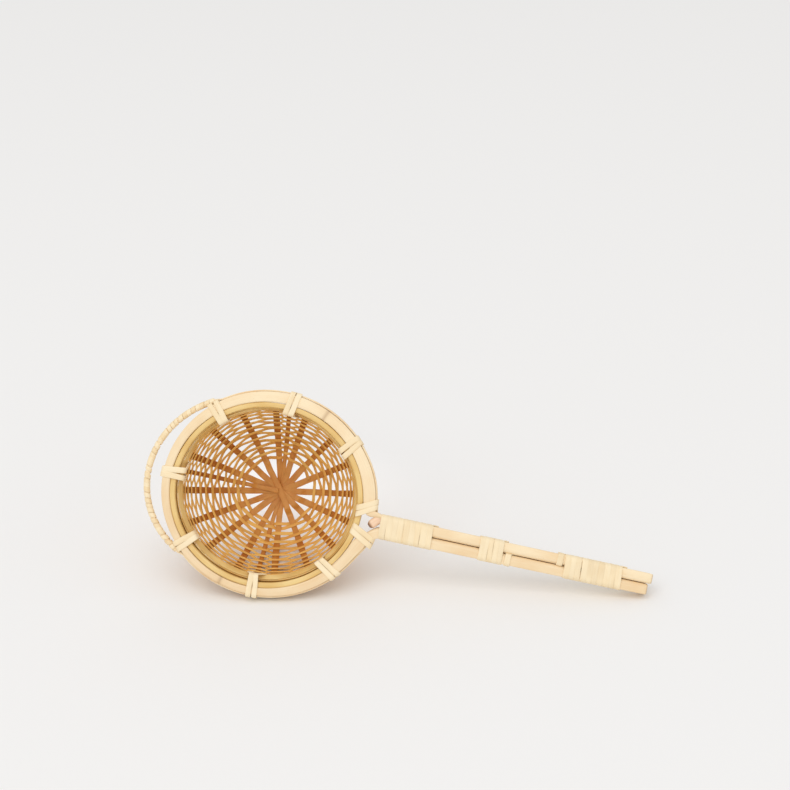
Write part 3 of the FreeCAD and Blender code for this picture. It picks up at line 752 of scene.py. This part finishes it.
def make_cover_and_handle():
    upper, lower = handle_half(1), handle_half(-1)
    hoop, hoop_angle = hoop_arc()
    centres, deep, thick, corner = (
        np.concatenate([above, round_rim, below[::-1]])
        for above, round_rim, below in zip(upper, hoop, lower)
    )
    first, last = len(upper[0]), len(upper[0]) + len(hoop[0])
    node = np.zeros(len(centres))
    for angle in HOOP_NODES:
        node[first:last] += hump(hoop_angle, angle, NODE_WIDTH)
    handle_part = np.ones(len(centres))
    handle_part[first:last] = 0.0
    # Painted shade for light from above: the hoop darkens from its top round to its bottom, and the
    # lower handle half is painted darker than the upper.
    painted_shade = np.full(len(centres), 0.15)
    painted_shade[first:last] = 0.5 - 0.5 * np.cos(hoop_angle - PAINTED_LIT_SIDE)
    painted_shade[last:] = 0.55
    centres, (deep, thick, corner, node, handle_part, painted_shade), places = resample(
        centres, [deep, thick, corner, node, handle_part, painted_shade], COVER_SPACING,
    )
    centres = smooth_rows(centres, COVER_SMOOTHING)
    along = unit(np.gradient(centres, axis=0))
    front = unit(np.array([0.0, 0.0, 1.0]) - along * along[:, 2:3])
    normals = np.cross(front, along)
    # The halves lean apart at the front, so the slot closes behind.
    apart = handle_part[:, None] * math.radians(HANDLE_SPLAY)
    front, normals = front - normals * apart, normals + front * apart
    end = np.minimum(places, places[-1] - places)
    rounded = 1.0 - 0.10 * (1.0 - ramp(end, 0.0, 0.8))
    deep = deep * rounded * (1.0 + 0.006 * node)
    thick = thick * rounded * (1.0 + 0.02 * node)
    # Tone and darkening carry this painted shade, together with random tone, the darker bamboo nodes
    # and the darker cut ends.
    tone = np.clip(0.32 + 0.45 * painted_shade + 0.16 * wander(places, 26.0), 0, 1)
    darkening = np.clip(0.08 * painted_shade + 0.55 * node + 0.35 * (1.0 - ramp(end, 0.0, 0.5)), 0, 1)
    piece = loft(
        "look_cover_hoop_and_handle", centres, front, normals,
        outline(deep, thick, corner, 0.0, 6, inner_corner=INSIDE_CORNER), "pale_bamboo",
        tone=tone, darkening=darkening,
    )
    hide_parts("cover_hoop_and_handle")


# Where the tongue of bamboo runs, seen from the front: out of the slot, then down.
WEDGE_PATH = [(36.7, -2.3), (39.6, 0.85), (41.6, 0.7), (44.0, 0.0), (53.0, -1.0)]


def make_neck_wedge():
    path = np.array(WEDGE_PATH)
    corners = np.stack([path[:, 0], path[:, 1], HANDLE_CENTRE_Z + 0.0 * path[:, 0]], -1)
    centres = smooth_rows(resample(corners, [], 0.25)[0], 8)
    along = unit(np.gradient(centres, axis=0))
    length = running_length(centres)
    rounded = np.sqrt(ramp(length, -0.6, 1.4))
    tapered = WEDGE_WIDE + (WEDGE_POINT - WEDGE_WIDE) * ramp(length, 4.0, length[-1])
    wide = tapered * rounded
    sides = np.tile([0.0, 0.0, 1.0], (len(length), 1))
    normals = np.cross(along, sides)
    darkening = 0.85 * (1.0 - ramp(length, 0.2, 1.5))
    piece = loft(
        "look_neck_wedge", centres, sides, normals,
        outline(WEDGE_DEEP * rounded, wide, 0.6, 0.0, 4), "wedge_bamboo",
        tone=0.4, darkening=darkening,
    )
    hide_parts("neck_wedge")


# ------------------------------------------------------ binding strip and the ear

EAR_CENTRE, EAR_HALF_ANGLE = math.pi, math.radians(51.5)
BINDING_ENDS, BINDING_CLEARANCE = (math.radians(9.0), math.radians(11.5)), 0.05
EAR_WRAP_SHARE, EAR_WRAP_TURNS, EAR_STEPS_PER_TURN = 0.89, 36, 22
EAR_SAG, EAR_FULLNESS = 0.10, 0.95


def ear_part(angle):
    place = (np.asarray(angle) - EAR_CENTRE) / EAR_HALF_ANGLE
    place = place - EAR_SAG * (1.0 - np.clip(place * place, 0.0, 1.0))
    inside = np.clip(np.cos(0.5 * np.pi * np.clip(place, -1.0, 1.0)), 0.0, 1.0)
    return inside ** EAR_FULLNESS


def binding_centre(angle):
    on_hoop = COVER_OUTER + BINDING_CLEARANCE + BINDING_THICK / 2.0
    top = COVER_OUTER + EAR_GAP + EAR_CORE / 2.0 + CANE_THICK
    radius = on_hoop + (top - on_hoop) * ear_part(angle) + neck_flare(angle)
    return rim_point(angle, radius, -COVER_DEEP / 2.0, shift=rim_shift(angle))


def make_binding_and_ear():
    angle = np.linspace(BINDING_ENDS[0], 2.0 * np.pi - BINDING_ENDS[1], 620)
    centres = binding_centre(angle)
    bowed = ramp(ear_part(angle), 0.01, 0.16)
    deep = BINDING_DEEP + bowed * (EAR_CORE - BINDING_DEEP)
    thick = BINDING_THICK + bowed * (EAR_CORE - BINDING_THICK)
    along = unit(np.gradient(centres, axis=0))
    sides = np.tile([0.0, 0.0, 1.0], (len(angle), 1))
    normals = unit(np.cross(along, sides))
    places = angle * COVER_OUTER
    tone = np.clip(0.45 + 0.2 * wander(places, 20.0), 0, 1)
    piece = loft(
        "look_binding_strip_and_ear", centres, sides, normals,
        outline(deep, thick, 0.2, 0.0, 3), "pale_bamboo", tone=tone,
    )
    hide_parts("binding_strip_and_ear")


def make_ear_wrap():
    turn = np.linspace(0.0, EAR_WRAP_TURNS, EAR_WRAP_TURNS * EAR_STEPS_PER_TURN)
    eased = turn + 0.16 * wander(turn, 5.0)
    share = np.clip(eased / EAR_WRAP_TURNS, 0.0, 1.0)
    span = EAR_WRAP_SHARE * EAR_HALF_ANGLE
    angle = EAR_CENTRE - span + 2.0 * span * share
    centre = binding_centre(angle)
    ahead = unit(binding_centre(angle + 0.01) - binding_centre(angle - 0.01))
    up = np.array([0.0, 0.0, 1.0])
    outward = unit(np.cross(ahead, up))
    phase = 2.0 * np.pi * turn[:, None]
    normals = outward * np.cos(phase) + up * np.sin(phase)
    reach = EAR_CORE / 2.0 + CANE_THICK / 2.0 + 0.04
    centres = centre + normals * reach
    pitch = 2.0 * span * (COVER_OUTER + EAR_GAP) / EAR_WRAP_TURNS
    sides, normals = frames_from_normals(centres, normals)
    wide = pitch * (0.87 + 0.06 * wander(turn, 4.0))
    tone = np.clip(0.40 + 0.22 * wander(turn, 3.0), 0, 1)
    piece = loft(
        "look_ear_cane_wrap", centres, sides, normals,
        outline(wide, CANE_THICK, 0.14, 0.05, 3), "binding_cane", tone=tone,
    )
    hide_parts("ear_cane_wrap")


# ---------------------------------------------------------------------- lashings

LASHING_INNER, LASHING_OUTER = 29.15, 37.48
LASHING_FRONT, LASHING_BACK = 0.16, -6.3
LASHING_CORNER, PAIR_GAP = 1.1, 0.12
LASHING_FIRST_TURN, LASHING_LAST_TURN, LASHING_STATIONS = -0.19, 1.53, 260


def loop_place(half_a, half_b, corner, part):
    """(a, b, out_a, out_b) arrays on a rounded rectangle, part of the way round."""
    part = np.asarray(part, float) % 1.0
    quarter = np.floor(part * 4.0).astype(int)
    flat_a, flat_b = half_a - corner, half_b - corner
    arc = 0.5 * np.pi * corner
    total = flat_a + flat_b + arc
    run = (part * 4.0 - quarter) * total
    run = np.where(quarter % 2 == 1, total - run, run)
    out = np.clip((run - flat_b) / corner, 0.0, 0.5 * np.pi)
    a = np.where(run < flat_b + arc, flat_a + corner * np.cos(out), total - run)
    b = np.where(run < flat_b, run, flat_b + corner * np.sin(out))
    sign_a = np.where((quarter == 0) | (quarter == 3), 1.0, -1.0)
    sign_b = np.where((quarter == 0) | (quarter == 1), 1.0, -1.0)
    return sign_a * a, sign_b * b, sign_a * np.cos(out), sign_b * np.sin(out)


def wall_crossing(degrees_round):
    """(shift, spread) of a lashing's two bands where they pass the wall."""
    ribs = rib_angle_at(np.arange(RIB_COUNT), np.full(RIB_COUNT, RIB_TOP))
    offsets = [math.remainder(rib - degrees_round, 360.0) for rib in ribs]
    to_rib = math.radians(min(offsets, key=abs)) * WALL_RADIUS
    half_pair = (CANE_WIDE + PAIR_GAP) / 2.0
    beside_rib = RIB_WIDE / 2.0 + half_pair + PAIR_GAP
    if abs(to_rib) < beside_rib:
        return to_rib, beside_rib
    clear = beside_rib + half_pair
    if abs(to_rib) < clear:
        return to_rib - math.copysign(clear, to_rib), half_pair
    return 0.0, half_pair


# How each lashing sits, seen from the front: (lean in degrees, extra spread of its
# two bands at the inner end and at the outer end, how far out the inner end lies, mm).
LASHING_LOOKS = [
    (0.0, -0.25, 0.25, 0.0),
    (8.0, -0.10, 0.10, 0.0),
    (-8.0, 0.20, -0.15, 0.0),
    (-24.0, 0.0, 0.0, 1.2),
    (15.0, -0.10, 0.10, 1.5),
    (-10.0, -0.10, 0.15, 0.0),
    (-2.0, -0.30, 0.05, 0.0),
    (0.0, -0.30, 0.10, 0.0),
    (-3.0, 0.30, -0.10, 0.0),
]
LASHING_WIDE = 1.95


def make_lashings():
    half_pair = (LASHING_WIDE + PAIR_GAP) / 2.0
    middle_z, half_z = (LASHING_FRONT + LASHING_BACK) / 2.0, (LASHING_FRONT - LASHING_BACK) / 2.0
    for number, degrees_round in enumerate(LASHING_ANGLES, start=1):
        lean, inner_spread, outer_spread, inset = LASHING_LOOKS[number - 1]
        shift, spread = wall_crossing(degrees_round)
        angle = math.radians(degrees_round)
        inner, outer = LASHING_INNER + inset, LASHING_OUTER + float(neck_flare(angle))
        middle_r, half_r = (inner + outer) / 2.0, (outer - inner) / 2.0
        outward = np.array([math.cos(angle), math.sin(angle), 0.0])
        tangent = np.array([-math.sin(angle), math.cos(angle), 0.0])
        turn = np.linspace(LASHING_FIRST_TURN, LASHING_LAST_TURN, LASHING_STATIONS)
        at_wall = ramp(np.cos(2.0 * np.pi * (turn + 0.125)), 0.2, 0.8)
        band = 2.0 * ramp(turn, 0.50, 0.80) - 1.0
        inward, forward, normal_in, normal_fore = loop_place(
            half_r, half_z, LASHING_CORNER, turn
        )
        at_front = ramp(forward, -half_z, 0.6 * half_z)
        part_in = inward / half_r
        extra = np.where(part_in > 0.0, inner_spread * part_in, -outer_spread * part_in)
        aside = band * (half_pair + extra * at_front + (spread - half_pair) * at_wall)
        aside = aside + shift * at_wall * (1.0 - at_front)
        aside = aside + inward * math.tan(math.radians(lean)) * at_front
        raised = 0.05 * band * (inner_spread < 0.0) * np.clip(part_in, 0.0, 1.0)
        place = rim_point(angle, middle_r, middle_z, shift=rim_shift(angle))
        centres = place - outward * inward[:, None]
        centres[:, 2] = middle_z + forward + raised
        centres = centres + tangent * (aside + 0.05 * wander(turn, 0.7))[:, None]
        normals = outward * -normal_in[:, None] + np.array([0.0, 0.0, 1.0]) * normal_fore[:, None]
        centres = smooth_rows(centres, 3)
        sides, normals = frames_from_normals(centres, normals)
        wide = LASHING_WIDE * (0.98 + 0.035 * wander(turn, 0.8))
        tone = np.clip(0.35 + 0.2 * wander(turn, 1.2), 0, 1)
        name = f"rim_lashing_{number:02d}"
        piece = loft(
            "look_" + name, centres, sides, normals,
            outline(wide, CANE_THICK, 0.12, 0.07, 3), "binding_cane", tone=tone,
        )
        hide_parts(name)


# ------------------------------------------------------------------ handle wraps

WRAP_CLEARANCE, WRAP_CORNER, WRAP_STEPS_PER_TURN = 0.06, 1.5, 64
SLOT_TURN_CLEARANCE, SLOT_TURN_CORNER, SLOT_TURN_LEAN = 0.02, 0.9, 0.25
# A last turn that goes through the slot, round one half only: (wrap, x, side, wide).
SLOT_TURNS = [(2, 86.6, -1, 2.1), (3, 104.4, 1, 2.1)]


def helix_of_cane(start, end, turns):
    pitch = (end - start) / turns
    turn = np.linspace(0.0, turns, turns * WRAP_STEPS_PER_TURN)
    share = np.clip((turn + 0.035 * wander(turn, 3.0)) / turns, 0.0, 1.0)
    x = start + 0.5 * pitch + (end - start - pitch) * share
    off = CANE_THICK / 2.0 + WRAP_CLEARANCE
    y, z, out_y, out_z = loop_place(
        handle_width(x) / 2.0 + off, HANDLE_DEEP / 2.0 + off, WRAP_CORNER, turn,
    )
    x = x + 0.12 * wander(turn, 2.3) * np.sin(2.0 * np.pi * turn)
    loft_out = 0.035 * np.sin(np.pi * (turn % 1.0)) ** 2
    centres = handle_point(x, y + out_y * loft_out, z + out_z * loft_out)
    normals = np.stack([0.0 * out_y, out_y, out_z], -1)
    wide = (end - start - pitch) / turns * (1.08 + 0.03 * wander(turn, 2.0))
    return centres, normals, wide, turn


def slot_turn(x, side, wide):
    """One turn of cane round one handle half, through the slot."""
    turn = np.linspace(-0.12, 1.12, 90)
    slot = handle_slot(x)[0]
    thick = (handle_width(x) - slot) / 2.0
    off = CANE_THICK / 2.0 + SLOT_TURN_CLEARANCE
    y, z, out_y, out_z = loop_place(
        thick / 2.0 + off, HANDLE_DEEP / 2.0 + off, SLOT_TURN_CORNER, turn,
    )
    middle = (slot + thick) / 2.0 + WRAP_CLEARANCE
    centres = handle_point(x + SLOT_TURN_LEAN * (turn - 0.5), side * middle + y, z)
    normals = np.stack([0.0 * out_y, out_y, out_z], -1)
    return centres, normals, np.full(len(turn), wide), turn


def lay_cane(name, path, node):
    centres, normals, wide, turn = path
    sides, normals = frames_from_normals(centres, normals)
    tone = np.clip(0.28 + 0.10 * wander(turn, 1.9), 0, 1)
    darkening = np.clip(0.05 * np.abs(wander(turn, 0.9)), 0, 1)
    piece = loft(
        name, centres, sides, normals, outline(wide, CANE_THICK, 0.07, 0.05, 3),
        "binding_cane", tone=tone, darkening=darkening,
    )
    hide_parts(node)


def make_wraps():
    for number, (start, end, turns) in enumerate(WRAP_SPANS, start=1):
        node = f"handle_wrap_{number}"
        lay_cane("look_" + node, helix_of_cane(start, end, turns), node)
    for count, (number, x, side, wide) in enumerate(SLOT_TURNS, start=1):
        node = f"handle_wrap_{number}"
        lay_cane(f"look_{node}_slot_turn_{count}", slot_turn(x, side, wide), node)


# ------------------------------------------------------- floor, light and camera

FLOOR_SIDE, FLOOR_COLOUR = 8.0, linear(242, 241, 240)
SKY_COLOUR, SKY_STRENGTH = (1.0, 0.998, 0.995, 1.0), 0.76
# Lamps in the row's metres: (name, place, target, side, watts, spread in degrees).
LAMPS = [
    ("softbox", (-0.5, -2.2, 3.0), (0.0, 0.0, 0.0), 3.6, 54.0, 180.0),
    # Light that the paper behind the bowl throws back under it.
    ("behind_bowl", (-0.045, 0.075, 0.055), (-0.045, 0.030, 0.0), 0.06, 0.0035, 80.0),
]


def make_stage():
    bpy.ops.mesh.primitive_plane_add(size=FLOOR_SIDE, location=(0.0, 0.0, 0.0))
    floor = bpy.context.object
    floor.name = "floor"
    n = Nodes("floor_paper")
    n.shader.inputs["Base Color"].default_value = FLOOR_COLOUR
    n.shader.inputs["Roughness"].default_value = 0.9
    n.shader.inputs["Specular IOR Level"].default_value = 0.0
    floor.data.materials.append(n.material)


def add_area(name, place, target, side, watts, spread):
    data = bpy.data.lights.new(name, "AREA")
    data.shape = "SQUARE"
    data.size = side
    data.energy = watts
    data.spread = math.radians(spread)
    lamp = bpy.data.objects.new(name, data)
    bpy.context.collection.objects.link(lamp)
    lamp.location = place
    aim = Vector(target) - Vector(place)
    lamp.rotation_euler = aim.to_track_quat("-Z", "Y").to_euler()
    lamp.visible_camera = False


def make_lights():
    world = bpy.data.worlds.new("studio")
    bpy.context.scene.world = world
    world.use_nodes = True
    background = world.node_tree.nodes["Background"]
    background.inputs["Color"].default_value = SKY_COLOUR
    background.inputs["Strength"].default_value = SKY_STRENGTH
    for lamp in LAMPS:
        add_area(*lamp)
    bpy.context.scene.view_settings.view_transform = "Standard"


CAMERA_DISTANCE = 0.700
CAMERA_AZIMUTH, CAMERA_ELEVATION = math.radians(2.942), math.radians(25.137)
CAMERA_ROLL, CAMERA_VIEW = math.radians(-1.22), math.radians(22.357)
CAMERA_RIGHT, CAMERA_UP = 0.044236, 0.034562


def make_camera():
    """Looks along the mouth axis, from just right of it, rim left of centre."""
    back = Vector((
        math.sin(CAMERA_AZIMUTH) * math.cos(CAMERA_ELEVATION),
        -math.cos(CAMERA_AZIMUTH) * math.cos(CAMERA_ELEVATION),
        math.sin(CAMERA_ELEVATION),
    ))
    level_right = Vector((math.cos(CAMERA_AZIMUTH), math.sin(CAMERA_AZIMUTH), 0.0))
    level_up = back.cross(level_right)
    right = level_right * math.cos(CAMERA_ROLL) + level_up * math.sin(CAMERA_ROLL)
    up = level_up * math.cos(CAMERA_ROLL) - level_right * math.sin(CAMERA_ROLL)
    data = bpy.data.cameras.new("camera")
    data.angle = CAMERA_VIEW
    camera = bpy.data.objects.new("camera", data)
    bpy.context.collection.objects.link(camera)
    place = Vector(RIM_CENTRE) + back * CAMERA_DISTANCE + right * CAMERA_RIGHT + up * CAMERA_UP
    pose = Matrix((right, up, back)).transposed().to_4x4()
    pose.translation = place
    camera.matrix_world = pose
    bpy.context.scene.camera = camera


make_camera()
make_stage()
make_lights()
make_ribs()
make_weft()
make_hoops()
make_cover_and_handle()
make_neck_wedge()
make_binding_and_ear()
make_ear_wrap()
make_lashings()
make_wraps()
